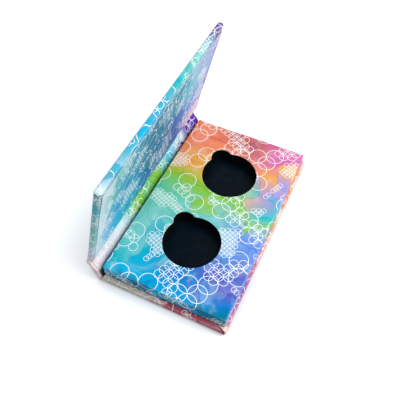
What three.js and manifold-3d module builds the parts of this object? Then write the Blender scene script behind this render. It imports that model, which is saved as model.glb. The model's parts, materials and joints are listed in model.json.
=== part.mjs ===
// A refillable eyeshadow compact: a paper-covered board case that opens like a book on two paper folds,
// with a tray glued inside whose two round wells take magnetic pans.
// Millimetres, +Z up. The origin is the middle of the closed case's footprint, on the face it rests on.
// +X runs from the fold side to the free edge, +Y from the near end to the far end.

import * as THREE from 'three';
import { mergeVertices } from 'three/addons/utils/BufferGeometryUtils.js';
import Module from 'manifold-3d';

const wasm = await Module();
wasm.setup();

// Sheet materials
const PAPER = 0.2; // printed paper, with its lamination
const GLUE = 0.05; // glue line between two glued pieces
const CASE_BOARD = 2.5; // greyboard of the base and the lid
const SPINE_BOARD = 1.5; // greyboard of the spine
const CORE = 6.55; // black foam board of the tray
const MAGNET_SHEET = 0.6; // flexible magnetic sheet on the floor of each well

// Wells
const WELL_DIAMETER = 27; // room for a 26 mm pan
const WELL_WEB = 16; // between the two wells
const WELL_END_WALL = 15.2; // well to the tray's near and far ends
const WELL_FOLD_WALL = 16.7; // well to the tray's fold side
const WELL_FREE_WALL = 16; // well to the tray's free side
const NOTCH_RADIUS = 5.1; // finger notch that lifts a pan out
const NOTCH_REACH = 12.05; // well centre to notch centre
const NOTCH_ANGLE = 132.5; // degrees from +X
const NOTCH_FILLET = 1.2; // rounding where the notch meets the well
const WELL_PAPER_RELIEF = 0.15; // the printed paper stops this far short of the well's wall
const WELL_FLOOR_CLEARANCE = 0.15; // magnetic sheet to the well's wall

// Case
const END_MARGIN = 2.2; // case beyond the tray's near and far ends
const FREE_MARGIN = 1.2; // case beyond the tray's free side
const SPINE_CLEARANCE = 0.55; // closed spine to the tray's fold side
const HINGE_CLEARANCE = 0.25; // closed spine to the edge of the base and the lid
const LID_CLEARANCE = 0.3; // closed lid to the top of the tray
const SPINE_SETBACK = 0.5; // fold axis to the edge of the spine board
const LID_SETBACK = 2; // lid board further from its fold than the base board, so that it swings freely
const TURN_IN = 12; // width of the paper turned over each panel's edges
const LINER_END_INSET = 1.6; // liner short of the panel's near and far ends
const LINER_FREE_INSET = 3; // liner short of the lid's free edge
const BASE_LINER_INSET = 1; // base liner short of the tray's outline

// Folds
const FOLD_RADIUS = 0.3; // bend of the outer paper at each fold
const FOLD_GAP = 0.1; // bend to the flat sheet beside it
const SPINE_FOLD = 73; // degrees that the spine stands up from lying flat, 90 when closed
const LID_FOLD = 31.4; // degrees that the lid folds in from the spine, 90 when closed

// Closure
const CLOSURE_DIAMETER = 8; // lid magnets and the steel discs that they meet
const CLOSURE_THICKNESS = 1.5;
const CLOSURE_INSET = 9; // free edge to the centre of a closure disc
const CLOSURE_SPACING = 72; // between the near and the far closure disc

// Softened edges
const BOARD_EDGE = 0.2; // rounding of a board's edges
const CORNER_EXTRA = 0.2; // what a corner is rounder than an edge, seen from above

// Facets
const EDGE_STEPS = 3;
const CORNER_STEPS = 3;
const WELL_STEPS = 56;
const NOTCH_STEPS = 18;
const FILLET_STEPS = 5;
const DISC_SIDES = 32;
const FOLD_SIDES = 16;

// Worked out from the sizes above
const OVERRUN = 1; // how far a cutter runs past what it cuts
const wellRadius = WELL_DIAMETER / 2;
const trayWidth = WELL_FOLD_WALL + WELL_DIAMETER + WELL_FREE_WALL;
const trayLength = 2 * WELL_END_WALL + 2 * WELL_DIAMETER + WELL_WEB;
const trayHeight = CORE + PAPER + 2 * GLUE;
const caseLayers = layersOf(CASE_BOARD);
const spineLayers = layersOf(SPINE_BOARD);
const caseLength = trayLength + 2 * END_MARGIN;
const caseWidth = spineLayers.linerTop + SPINE_CLEARANCE + trayWidth + FREE_MARGIN;
const closedHeight = 2 * caseLayers.linerTop + trayHeight + LID_CLEARANCE;
const foldToFold = closedHeight - 2 * FOLD_RADIUS;
const hingeX = FOLD_RADIUS - caseWidth / 2;
const sheetStart = FOLD_RADIUS + FOLD_GAP;
const panelStart = spineLayers.linerTop - FOLD_RADIUS + HINGE_CLEARANCE;
const lidStart = panelStart + LID_SETBACK;
const panelEnd = caseWidth - FOLD_RADIUS;
const skin = PAPER + GLUE;
const coverEdge = BOARD_EDGE + skin;
const tray = {
  fold: caseWidth / 2 - FREE_MARGIN - trayWidth,
  free: caseWidth / 2 - FREE_MARGIN,
  half: trayLength / 2,
  bottom: caseLayers.linerTop,
  top: caseLayers.linerTop + trayHeight,
};
const coreLow = tray.bottom + GLUE;
const coreTop = coreLow + CORE;
const wellX = tray.fold + WELL_FOLD_WALL + wellRadius;
const wellY = wellRadius + WELL_WEB / 2;
const ENDS = [
  { name: 'near', side: -1, well: { x: wellX, y: -wellY } },
  { name: 'far', side: 1, well: { x: wellX, y: wellY } },
];

// Heights of a panel's layers, from its outer face inwards.
function layersOf(board) {
  const boardLow = PAPER + GLUE;
  const boardTop = boardLow + board;
  const turnInLow = boardTop + GLUE;
  const turnInTop = turnInLow + PAPER;
  const linerLow = turnInTop + GLUE;
  return { boardLow, boardTop, turnInLow, turnInTop, linerLow, linerTop: linerLow + PAPER };
}

// Joining and cutting

function solid(geometry) {
  const bare = geometry.clone();
  bare.deleteAttribute('normal');
  bare.deleteAttribute('uv');
  const merged = mergeVertices(bare);
  return new wasm.Manifold(
    new wasm.Mesh({
      numProp: 3,
      vertProperties: new Float32Array(merged.attributes.position.array),
      triVerts: new Uint32Array(merged.index.array),
    }),
  );
}

function geometryOf(body) {
  const { vertProperties, triVerts } = body.getMesh();
  const geometry = new THREE.BufferGeometry();
  geometry.setAttribute('position', new THREE.BufferAttribute(new Float32Array(vertProperties), 3));
  geometry.setIndex(new THREE.BufferAttribute(new Uint32Array(triVerts), 1));
  geometry.computeVertexNormals();
  return geometry;
}

// Basic forms

function box(low, high) {
  const [x, y, z] = high.map((value, i) => value - low[i]);
  return solid(new THREE.BoxGeometry(x, y, z).translate(low[0] + x / 2, low[1] + y / 2, low[2] + z / 2));
}

function roundedRectangle(low, high, radius) {
  const shape = new THREE.Shape();
  shape.absarc(high[0] - radius, high[1] - radius, radius, 0, Math.PI / 2);
  shape.absarc(low[0] + radius, high[1] - radius, radius, Math.PI / 2, Math.PI);
  shape.absarc(low[0] + radius, low[1] + radius, radius, Math.PI, 1.5 * Math.PI);
  shape.absarc(high[0] - radius, low[1] + radius, radius, 1.5 * Math.PI, 2 * Math.PI);
  shape.closePath();
  return shape;
}

// A slab with every edge rounded to the same radius, and its corners a little rounder.
function roundedSlab(low, high, edge) {
  const inner = roundedRectangle(
    [low[0] + edge, low[1] + edge],
    [high[0] - edge, high[1] - edge],
    CORNER_EXTRA,
  );
  const geometry = new THREE.ExtrudeGeometry(inner, {
    depth: high[2] - low[2] - 2 * edge,
    bevelSize: edge,
    bevelThickness: edge,
    bevelSegments: EDGE_STEPS,
    curveSegments: CORNER_STEPS,
  });
  return solid(geometry.translate(0, 0, low[2] + edge));
}

function disc(x, y, low, high, diameter) {
  const geometry = new THREE.CylinderGeometry(diameter / 2, diameter / 2, high - low, DISC_SIDES);
  return geometry.rotateX(Math.PI / 2).translate(x, y, (low + high) / 2);
}

function arc(x, y, radius, from, to, steps) {
  return Array.from({ length: steps }, (_, i) => {
    const angle = from + ((to - from) * i) / steps;
    return new THREE.Vector2(x + radius * Math.cos(angle), y + radius * Math.sin(angle));
  });
}

// A well with its finger notch, seen from above: two circles joined by fillets that touch both.
// relief widens the whole outline evenly, and a negative one narrows it.
function wellOutline(centre, relief) {
  const well = wellRadius + relief;
  const notch = NOTCH_RADIUS + relief;
  const fillet = NOTCH_FILLET - relief;
  const reach = NOTCH_REACH;
  const x = ((well + fillet) ** 2 - (notch + fillet) ** 2 + reach ** 2) / (2 * reach);
  const y = Math.sqrt((well + fillet) ** 2 - x ** 2);
  const fromWell = Math.atan2(y, x);
  const fromNotch = Math.atan2(y, x - reach);
  const turn = Math.PI;
  const points = [
    ...arc(0, 0, well, fromWell, 2 * turn - fromWell, WELL_STEPS),
    ...arc(x, -y, fillet, turn - fromWell, turn - fromNotch, FILLET_STEPS),
    ...arc(reach, 0, notch, -fromNotch, fromNotch, NOTCH_STEPS),
    ...arc(x, y, fillet, turn + fromNotch, turn + fromWell, FILLET_STEPS),
  ];
  const middle = new THREE.Vector2();
  const angle = THREE.MathUtils.degToRad(NOTCH_ANGLE);
  const place = new THREE.Vector2(centre.x, centre.y);
  return new THREE.Shape(points.map((point) => point.rotateAround(middle, angle).add(place)));
}

function wellPlug(centre, relief, low, high) {
  const options = { depth: high - low, bevelEnabled: false };
  return solid(new THREE.ExtrudeGeometry(wellOutline(centre, relief), options).translate(0, 0, low));
}

// Case panels. In a panel's own frame X runs away from its fold axis and Z from its outer face inwards.

function panelBoard(z, first, last) {
  const half = caseLength / 2 - skin;
  return roundedSlab([first, -half, z.boardLow], [last, half, z.boardTop], BOARD_EDGE);
}

// The printed paper round a panel: outer sheet, end walls and turned-in margins. The outer sheet runs on
// to the fold beside the board's first edge, and beside its last edge unless that is the free edge.
function panelCover(z, board, sheet, freeEdge) {
  const half = caseLength / 2;
  const beyond = freeEdge ? 0 : OVERRUN;
  const above = z.turnInTop + OVERRUN;
  const side = half + OVERRUN;
  let cover = roundedSlab(
    [sheet.first - OVERRUN, -half, 0],
    [sheet.last + beyond, half, z.turnInTop],
    coverEdge,
  );
  const hollow = roundedSlab(
    [board.first - GLUE, PAPER - half, PAPER],
    [board.last + GLUE, half - PAPER, z.turnInLow],
    BOARD_EDGE + GLUE,
  );
  const windowEnd = freeEdge ? sheet.last - TURN_IN : board.last + OVERRUN;
  const windowHalf = half - TURN_IN;
  cover = cover
    .subtract(hollow)
    .subtract(box([board.first - OVERRUN, -windowHalf, z.boardTop], [windowEnd, windowHalf, above]))
    .subtract(box([sheet.first - 2 * OVERRUN, -side, -OVERRUN], [sheet.first, side, above]))
    .subtract(box([sheet.first - OVERRUN, -side, PAPER], [board.first, side, above]));
  if (!freeEdge) {
    cover = cover
      .subtract(box([sheet.last, -side, -OVERRUN], [sheet.last + 2 * OVERRUN, side, above]))
      .subtract(box([board.last, -side, PAPER], [sheet.last + OVERRUN, side, above]));
  }
  return cover;
}

function panelLiner(z, first, last, half) {
  return box([first, -half, z.linerLow], [last, half, z.linerTop]);
}

// Tray

function trayCore() {
  let core = roundedSlab(
    [tray.fold + skin, skin - tray.half, coreLow],
    [tray.free - skin, tray.half - skin, coreTop],
    BOARD_EDGE,
  );
  const pocketLow = coreTop - CLOSURE_THICKNESS - 2 * GLUE;
  for (const { side, well } of ENDS) {
    core = core.subtract(wellPlug(well, 0, coreLow - OVERRUN, coreTop + OVERRUN));
    const [x, y] = closurePlace(side);
    core = core.subtract(solid(disc(x, y, pocketLow, coreTop + OVERRUN, CLOSURE_DIAMETER + 2 * GLUE)));
  }
  return core;
}

function trayCover() {
  const low = tray.bottom - OVERRUN;
  let cover = roundedSlab([tray.fold, -tray.half, low], [tray.free, tray.half, tray.top], coverEdge);
  cover = cover.subtract(
    roundedSlab(
      [tray.fold + PAPER, PAPER - tray.half, low - OVERRUN],
      [tray.free - PAPER, tray.half - PAPER, coreTop + GLUE],
      BOARD_EDGE + GLUE,
    ),
  );
  const margin = caseWidth + caseLength;
  cover = cover.subtract(box([-margin, -margin, low - OVERRUN], [margin, margin, tray.bottom]));
  for (const { well } of ENDS) {
    cover = cover.subtract(wellPlug(well, WELL_PAPER_RELIEF, coreTop, tray.top + OVERRUN));
  }
  return cover;
}

function closurePlace(side) {
  return [caseWidth / 2 - CLOSURE_INSET, (side * CLOSURE_SPACING) / 2];
}

// Finishes
const print = (color) => new THREE.MeshStandardMaterial({ color, roughness: 0.45, metalness: 0 });
const outerPrint = print('#c98aa6');
const innerPrint = print('#6db9d2');
const trayPrint = print('#58b8b4');
const greyboard = new THREE.MeshStandardMaterial({ color: '#9a948a', roughness: 0.9, metalness: 0 });
const foam = new THREE.MeshStandardMaterial({ color: '#08090b', roughness: 0.95, metalness: 0 });
const magnetRubber = new THREE.MeshStandardMaterial({ color: '#101820', roughness: 0.5, metalness: 0 });
const steel = new THREE.MeshStandardMaterial({ color: '#b8bcc0', roughness: 0.3, metalness: 1 });

function addPiece(parent, name, shape, material) {
  const piece = new THREE.Mesh(shape.isBufferGeometry ? shape : geometryOf(shape), material);
  piece.name = name;
  parent.add(piece);
  return piece;
}

// A case panel's pieces, lowered so that the group's origin is on the fold axis.
function addPanel(parent, name, pieces) {
  const frame = new THREE.Group();
  frame.position.z = -FOLD_RADIUS;
  addPiece(frame, `${name}_board`, pieces.board, greyboard);
  addPiece(frame, `${name}_wrap`, pieces.cover, outerPrint);
  addPiece(frame, `${name}_liner`, pieces.liner, innerPrint);
  parent.add(frame);
  return frame;
}

function panelPieces(z, board, sheet, freeEdge, liner) {
  return {
    board: panelBoard(z, board.first, board.last),
    cover: panelCover(z, board, sheet, freeEdge),
    liner: panelLiner(z, liner.first, liner.last, liner.half),
  };
}

const compact = new THREE.Group();
const caseSheet = { first: sheetStart, last: panelEnd };

// Base, with the tray on it
const base = new THREE.Group();
base.position.set(hingeX, 0, FOLD_RADIUS);
compact.add(base);
const baseBoard = { first: panelStart, last: panelEnd - skin };
const baseLiner = {
  first: panelStart,
  last: tray.free - hingeX - BASE_LINER_INSET,
  half: tray.half - BASE_LINER_INSET,
};
addPanel(base, 'base', panelPieces(caseLayers, baseBoard, caseSheet, true, baseLiner));
addPiece(compact, 'tray_core', trayCore(), foam);
addPiece(compact, 'tray_wrap', trayCover(), trayPrint);
for (const { name, side, well } of ENDS) {
  const floor = wellPlug(well, -WELL_FLOOR_CLEARANCE, coreLow, coreLow + MAGNET_SHEET);
  addPiece(compact, `well_magnet_${name}`, floor, magnetRubber);
  const [x, y] = closurePlace(side);
  const top = coreTop - GLUE;
  const strike = disc(x, y, top - CLOSURE_THICKNESS, top, CLOSURE_DIAMETER);
  addPiece(compact, `strike_disc_${name}`, strike, steel);
}

// Spine, standing up from the base on its fold. Half a turn about Z points its X away from the base.
const spine = new THREE.Group();
spine.position.copy(base.position);
spine.rotation.set(0, THREE.MathUtils.degToRad(SPINE_FOLD), Math.PI);
compact.add(spine);
const spineBoard = { first: SPINE_SETBACK, last: foldToFold - SPINE_SETBACK };
const spineSheet = { first: sheetStart, last: foldToFold - sheetStart };
const spineLiner = { ...spineBoard, half: caseLength / 2 - LINER_END_INSET };
addPanel(spine, 'spine', panelPieces(spineLayers, spineBoard, spineSheet, false, spineLiner));
for (const [name, x] of [['base_fold', 0], ['lid_fold', foldToFold]]) {
  const bend = new THREE.CylinderGeometry(FOLD_RADIUS, FOLD_RADIUS, caseLength, FOLD_SIDES);
  addPiece(spine, name, bend, outerPrint).position.x = x;
}

// Lid, folded in from the spine
const lid = new THREE.Group();
lid.position.x = foldToFold;
lid.rotation.y = -THREE.MathUtils.degToRad(LID_FOLD);
spine.add(lid);
const lidBoard = { first: lidStart, last: panelEnd - skin };
const lidLiner = {
  first: lidStart,
  last: panelEnd - LINER_FREE_INSET,
  half: caseLength / 2 - LINER_END_INSET,
};
const lidPieces = panelPieces(caseLayers, lidBoard, caseSheet, true, lidLiner);
const lidMagnetTop = caseLayers.boardTop - GLUE;
const lidMagnetLow = lidMagnetTop - CLOSURE_THICKNESS;
const lidMagnets = ENDS.map(({ name, side }) => ({
  name: `lid_magnet_${name}`,
  x: panelEnd - CLOSURE_INSET,
  y: (-side * CLOSURE_SPACING) / 2,
}));
for (const { x, y } of lidMagnets) {
  const pocket = disc(x, y, lidMagnetLow - GLUE, lidMagnetTop + OVERRUN, CLOSURE_DIAMETER + 2 * GLUE);
  lidPieces.board = lidPieces.board.subtract(solid(pocket));
}
const lidFrame = addPanel(lid, 'lid', lidPieces);
for (const { name, x, y } of lidMagnets) {
  addPiece(lidFrame, name, disc(x, y, lidMagnetLow, lidMagnetTop, CLOSURE_DIAMETER), steel);
}

export default compact;
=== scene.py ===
import json
from dataclasses import dataclass
from itertools import product
from math import atan2, copysign, cos, hypot, pi, radians, sin, sqrt, tan

import bmesh
import bpy
from mathutils import Matrix, Vector, noise


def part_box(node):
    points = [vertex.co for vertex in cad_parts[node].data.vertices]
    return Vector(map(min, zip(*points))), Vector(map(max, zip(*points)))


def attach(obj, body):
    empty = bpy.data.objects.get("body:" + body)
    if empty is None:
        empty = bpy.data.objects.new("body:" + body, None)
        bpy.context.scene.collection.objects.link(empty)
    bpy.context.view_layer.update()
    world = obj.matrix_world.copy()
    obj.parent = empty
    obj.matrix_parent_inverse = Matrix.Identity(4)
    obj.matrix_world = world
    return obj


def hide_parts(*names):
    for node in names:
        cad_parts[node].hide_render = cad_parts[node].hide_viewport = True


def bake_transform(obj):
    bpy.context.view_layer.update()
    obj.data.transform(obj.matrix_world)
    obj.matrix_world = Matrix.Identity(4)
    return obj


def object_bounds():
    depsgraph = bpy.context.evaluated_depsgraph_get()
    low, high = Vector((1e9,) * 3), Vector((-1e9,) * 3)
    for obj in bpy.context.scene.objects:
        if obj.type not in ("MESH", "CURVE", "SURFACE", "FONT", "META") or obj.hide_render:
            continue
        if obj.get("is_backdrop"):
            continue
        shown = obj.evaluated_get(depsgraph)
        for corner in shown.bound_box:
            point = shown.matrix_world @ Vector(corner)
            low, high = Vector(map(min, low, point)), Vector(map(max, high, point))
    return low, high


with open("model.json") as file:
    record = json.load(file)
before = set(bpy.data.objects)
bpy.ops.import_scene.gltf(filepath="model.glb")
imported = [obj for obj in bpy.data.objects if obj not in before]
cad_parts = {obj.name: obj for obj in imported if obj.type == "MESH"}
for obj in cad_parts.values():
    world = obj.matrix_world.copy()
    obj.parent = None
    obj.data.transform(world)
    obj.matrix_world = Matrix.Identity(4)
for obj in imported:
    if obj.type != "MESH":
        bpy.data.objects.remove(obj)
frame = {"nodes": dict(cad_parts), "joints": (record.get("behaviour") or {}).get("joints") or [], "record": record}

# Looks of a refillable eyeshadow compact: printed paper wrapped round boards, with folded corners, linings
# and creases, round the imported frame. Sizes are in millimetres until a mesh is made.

cad_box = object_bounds()
scene = bpy.context.scene

MM = 0.001
SHEET = "Sheet"  # UV map that holds a point's place on the flat printed sheet, in millimetres
WEAR = "wear"  # how much a point is rubbed: 1 on bends and edges
PRINTED, EDGE = 0, 1  # materials of a sheet: its printed side, and its back and rims
SHARP = radians(38)  # faces that turn more meet in a sharp edge

# Grids
STEP = 4.0  # over flat paper
LINING_STEP = 2.0  # over linings and the tray's sides
FLAP_STEP = 1.5  # over the free edge's flap and the lid's lining
FLAP_ROW = 0.7  # down the tray's end flaps
FINE_STEP = 0.6  # near folded corners
LINING_END_STEP = 0.5
HEM_STEP = 0.3
SMALL_STEP = 0.25  # along grooves and corner folds
BEND_STEPS = 4
SAME_LINE = 0.01  # lines closer than this are one
CORNER_ZONE = 4.8  # how far from a corner the fine grid reaches
LINING_END_ZONE = 2.0
FLAP_SHARE = 0.08  # step along the flap, as a share of half its length
FLAP_CORNER = (0.9, 0.012)  # share where its fine grid starts, and the step there
WELL_STEPS, NOTCH_STEPS, FILLET_STEPS = 96, 36, 8

# Paper
PAPER = 0.2
THIN = 0.18  # paper where it is pulled round an edge
GLUE = 0.05
CLEAR = 0.2  # cover to the solid's faces, so that folded corners stay within them
BASE_BEND = 0.65  # bend of the paper over the base's edges
LID_BEND = 1.1
SPINE_BEND = 0.6
TRAY_BEND = 0.45
HEM_RUN = 3.0  # length over which a case bend grows from the flat hem beside a fold
CROWN = 4.0  # how narrow the rubbed crown of a bend is
BENT = 0.05  # rolled paper counts as bent where both parts of its normal are larger
FOLD_WEAR = 0.5
RIPPLE = 0.025  # unevenness of glued paper
RIPPLE_LENGTH = 13.0

# Case panels
LID_SETBACK = 2.0  # the lid's board further from its fold than the base's
SPINE_SETBACK = 0.5  # fold axis to the board of the spine
SPINE_TURN_IN = 2.0
TURN_IN = 12.0
FOLD_RADIUS = 0.3
FOLD_SLIP = 0.01  # what the paper of a fold stands inside the solid's
FOLD_REACH = 1.0  # flat paper that belongs to a fold, on each side of its axis
GROOVE = 0.55  # height of the groove's floor beside a fold axis
GROOVE_FOOT = 0.25  # bend where a wall meets the groove's floor
GROOVE_HEM = 0.52  # height of the folded hem at the ends of a groove
GROOVE_CREASE = 0.15  # half width of the groove's sharpest part
BASE_CREASE_BEND = ((0.5, 0.2), (0.1, 0.2))  # along and inwards from its axis, start and end
LID_CREASE_BEND = 0.9  # how far along the lid its crease bends
LID_HEM_ROUND = 2.5  # bend of the lid's turned-in ends down into its wide groove
END_CROWN = 1.2  # swell of the spine's folded ends, beyond the lining
END_CROWN_RUN = 0.5

# Folded corners
FLAP_LIFT = 0.2  # how far the last fold stands over the tucked paper
FLAP_REACH = 2.6  # length over which it rises
FLAP_END = 0.22  # flap to the end of the panel
FREE_PRINT = 16.0  # how far along the printed sheet the free edge's flap lies beyond the panel
TUCK = 2.2  # paper tucked under the flap
TUCK_UNDER = 0.3  # what the painted slit shade along a flap's end reaches under it
MITRE_RUN = 6.0  # length over which that painted shade narrows away
# Lift of the dark strips that paint the shade of slits
SLIT_SHADE_LIFT = 0.05
CORNER_FOLD_CURVE = 2.2  # how a corner fold's edge curves up from its foot
CORNER_FOLD_FOOT = 0.5
CORNER_FOLD_LIFT = 0.15  # how far its edge stands off the end
# Slope of the flap's ends and the painted slit shade along them, the fold's width round a corner and the painted
# slit shade beside it
BASE_CORNER = (0.41, 0.6, 0.3, 0.5)
LID_CORNER = (1.0, 0.0, 1.2, 0.8)

# Linings
LINING_END_INSET = 1.6
LINING_FREE_INSET = 3.0
LINING_ROUND = 0.75  # bend of a lining over a case board's edge
LINING_START = 1.0  # bend to the first line of the flat part
SPINE_LINING = 2.25
SPINE_ROUND = 0.55
SPINE_START = 0.5
SPINE_CROWN = 0.32  # swell of the spine's lining
SPINE_CROWN_HALF = 4.4
SPINE_END_LIFT = 0.5  # what the crown gains at the cut ends, as a share
SPINE_END_REACH = 8.0
STEP_DOWN = 0.12  # lining over the boards, inside the turned-in margins
STEP_RUN = 1.2
CORNER_LIFT = 0.22  # loose corners of the lid's lining
CORNER_LIFT_REACH = 14.0

# Tray
WELL_RADIUS = 13.5
NOTCH_RADIUS = 5.1
NOTCH_REACH = 12.05
NOTCH_ANGLE = radians(132.5)
NOTCH_FILLET = 1.2
WELL_RELIEF = 0.15
CUT_DEPTH = 1.0  # what a well's cut reaches above and below the tray's top
TRAY_CLEAR = 0.12  # what the tray's ends stand inside the solid, under their flaps
FLAP_SIDE_INSET = 0.55  # end flap of the tray to its corners
FLAP_RUN = 1.2  # height over which an end flap leaves the top edge
GLUE_LINE_AND_SHADE = 0.55  # height of the dark strip at the foot of the tray's ends: a glue line, and painted contact shade

# Print
WASH_REACH = 70.0  # the wash is set out this far to each side of the sheet's middle
SWIRL, SWIRL_FLOW, SWIRL_DRIFT = 24.0, 34.0, 16.0  # its size, and how far it carries blots and columns
BLOT, BLOT_ALONG, BLOT_ACROSS = 16.0, 15.0, 8.0  # their size, and how far their colours jump
CLOUD = 9.0
CIRCLE_REACH = sqrt(0.5)  # radius of a lattice circle, in cells
CIRCLE_TURN = radians(23)
PATCH = 17.0  # size of the patches of white circles
CIRCLES = (  # cell, line, and the patches they fill: middle and half width on a scale of 0 to 1
    (6.2, 0.3, (0.555, 0.035)),
    (3.1, 0.26, (0.79, 0.2)),
    (1.7, 0.22, (0.2, 0.19)),
)
DOT_CELL = 3.1
GRAIN, RUB_SIZE, FIBRE = 0.7, 1.6, 0.35  # sizes of ink grain, rub marks and paper fibres

# Studio, in metres
DOME = (0.224, 0.96)  # strength of the dome at the horizon and overhead
DOME_RISE = (-0.1, 1.0)  # heights in the sky between which it grows
FLOOR_TONE = (0.9, 0.93, 0.96, 1.0)
FLOOR_BOUNCE = (0.4, 0.4, 0.4, 1.0)  # floor as a source of light
FLOOR_GLOW = 0.4
FLOOR_HALF, FLOOR_DROP = 3.0, 0.0002
CONTACT_SHADOW_TONE = (0.5, 0.56, 0.62, 1.0)  # painted contact shadow: floor where the object stands close over it
CONTACT_SHADOW_REACH = 0.035
CONTACT_SHADOW_SPAN = (0.25, 1.0)  # share of open sky over the floor, from the darkest painted contact shadow to white
LAMPS = (  # name, place, target, size and power
    ("key", (0.4, 0.2, 0.55), (0, 0, 0.02), 0.4, 2.2),
    ("side", (0.5, -0.05, 0.22), (-0.03, 0, 0.04), 0.3, 0.9),
)
CAMERA_EYE = Vector((0.059094, -0.131264, 0.21613))
CAMERA_AIM = Vector((-0.006801, 0.003981, 0.006))
CAMERA_ROLL = radians(-0.68)
CAMERA_LENS, CAMERA_SENSOR = 47.05, 36.0  # in millimetres
CAMERA_CLIP = (0.01, 20.0)


# Sizes read from the frame


def in_mm(point):
    return Vector(point) / MM


def box_mm(node):
    return [in_mm(corner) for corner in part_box(node)]


joints = {joint["name"]: joint for joint in frame["joints"]}
mounts = {mount["name"]: mount for mount in frame["record"]["mounts"]}
base_axis = in_mm(joints["spine_hinge"]["pos_m"])
lid_axis = in_mm(joints["lid_hinge"]["pos_m"])
spine_lift = radians(joints["spine_hinge"]["range_deg"][1])  # its upper limit lays the spine flat
lid_lift = spine_lift + radians(joints["lid_hinge"]["range_deg"][1])  # its upper limit aligns both
base_top = box_mm("base_wrap")[1]
tray_low, tray_high = box_mm("tray_wrap")
case_half = base_top.y
case_turn_in = base_top.z
case_lining = box_mm("base_liner")[1].z
panel_start = box_mm("base_board")[0].x - base_axis.x
panel_end = base_top.x - base_axis.x
lid_start = panel_start + LID_SETBACK
fold_to_fold = (lid_axis - base_axis).length
cover_half = case_half - CLEAR
lining_half = case_half - LINING_END_INSET


# Palette of the generic wash


def tone(code):
    """Linear colour of a six-digit hex code."""
    channels = [int(code[i : i + 2], 16) / 255 for i in (0, 2, 4)]
    linear = [c / 12.92 if c <= 0.04045 else ((c + 0.055) / 1.055) ** 2.4 for c in channels]
    return (*linear, 1.0)


PALETTE = dict(
    coral="f08a60", amber="eeb04c", magenta="d972b0", mauve="c073a0", plum="8a4a94", rose="b8626f",
    crimson="a83a4e", blush="f3d9df", peach="f2bf9f", stone="c2beb6", lime="8ccb45", mint="62cdb0",
    # The darkest tone here paints shade in the groove beside the base's fold
    haze="a3cfea", aqua="86d2cc", lagoon="4fb3cb", turquoise="12bcc6", teal="007ca2", deep="04202a",
    cyan="0cb2e2", sky="55c4ea", azure="0f7fcc", blue="3a74c0", periwinkle="6f96e2", lilac="a79adf",
    violet="5b55bd", purple="6a40b8", dusk="75609f", ice="d8edf4",
)
WHITE_INK = tone("f8fcfc")
CUT_PAPER = tone("eeebe4")
# A dark tone for glued rims, and painted shade on the strips that stand for slits and gaps
SEAM_AND_SHADE = tone("1c1216")
# Painted shade of the groove beside the base's fold, multiplied into the lining's print
GROOVE_SHADE_TONE = tone("4a6068")


# Small mathematics


def clamp(value, low=0.0, high=1.0):
    return min(max(value, low), high)


def smooth(value):
    t = clamp(value)
    return t * t * (3 - 2 * t)


def spread(low, high, step):
    count = max(1, round(abs(high - low) / step))
    return [low + (high - low) * i / count for i in range(count + 1)]


def bend_lines(edge, reach):
    """Grid lines over a bend, at even angles, from the box's edge to where the bend ends."""
    angles = [pi / 4 * (1 - i / BEND_STEPS) for i in range(BEND_STEPS + 1)]
    return [edge + reach * (1 - tan(angle)) for angle in angles]


def merged(*groups):
    lines = sorted(value for group in groups for value in group)
    return [value for i, value in enumerate(lines) if i == 0 or value - lines[i - 1] > SAME_LINE]


def both(values):
    """The same values on the other side of 0, and then these."""
    return [-value for value in values] + values


def quad(i, j):
    return (i, j), (i + 1, j), (i + 1, j + 1), (i, j + 1)


def ripple(point):
    return RIPPLE * (noise.noise(point / RIPPLE_LENGTH) - 1)


HALVES, QUARTERS, FIFTHS = [spread(0, 1, 1 / count) for count in (2, 4, 5)]


# Paper meshes


class Paper:
    """A sheet gathered as quads. A point is its place on the printed side, on the back, and its wear."""

    def __init__(self):
        self.points = []
        self.quads = []

    def add(self, point):
        self.points.append(point)
        return len(self.points) - 1

    def grid(self, us, vs, place, flat, front=PRINTED):
        rows = [[self.add(place(u, v)) for v in vs] for u in us]
        for i, j in product(range(len(us) - 1), range(len(vs) - 1)):
            numbers = [rows[a][b] for a, b in quad(i, j)]
            self.quads.append((numbers, [flat(us[a], vs[b]) for a, b in quad(i, j)], front))

    def build(self, name, printed, edge):
        """A closed shell: printed side, back, and a rim round every open edge."""
        bm = bmesh.new()
        flat = bm.loops.layers.uv.new(SHEET)
        worn = bm.verts.layers.float.new(WEAR)
        sides = []
        for side in (0, 1):
            sides.append([bm.verts.new(point[side] * MM) for point in self.points])
            for vertex, point in zip(sides[side], self.points):
                vertex[worn] = point[2]

        def face(vertices, places, material):
            made = bm.faces.new(vertices)
            made.material_index = material
            made.smooth = True
            for loop, spot in zip(made.loops, places):
                loop[flat].uv = spot

        rim = {}
        for numbers, places, front in self.quads:
            face([sides[0][n] for n in numbers], places, front)
            face([sides[1][n] for n in reversed(numbers)], places[::-1], EDGE)
            for k in range(4):
                a, b = numbers[k], numbers[(k + 1) % 4]
                key = frozenset((a, b))
                rim[key] = None if key in rim else (a, b, places[k], places[(k + 1) % 4])
        for a, b, spot_a, spot_b in filter(None, rim.values()):
            corners = [sides[0][b], sides[0][a], sides[1][a], sides[1][b]]
            face(corners, [spot_b, spot_a, spot_a, spot_b], EDGE)
        bmesh.ops.recalc_face_normals(bm, faces=bm.faces)
        return mesh_object(name, bm, printed, edge)


def mesh_object(name, bm, *materials):
    mesh = bpy.data.meshes.new(name)
    bm.to_mesh(mesh)
    bm.free()
    for material in materials:
        mesh.materials.append(material)
    mesh.set_sharp_from_angle(angle=SHARP)
    piece = bpy.data.objects.new(name, mesh)
    scene.collection.objects.link(piece)
    return piece


@dataclass
class Panel:
    """A case panel's own frame: X away from its fold axis, Y along it, Z from its outer face inwards."""

    axis: Vector
    along: Vector
    inward: Vector

    def place(self, x, y, z):
        return self.axis + self.along * x + Vector((0, y, 0)) + self.inward * (z - FOLD_RADIUS)


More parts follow.
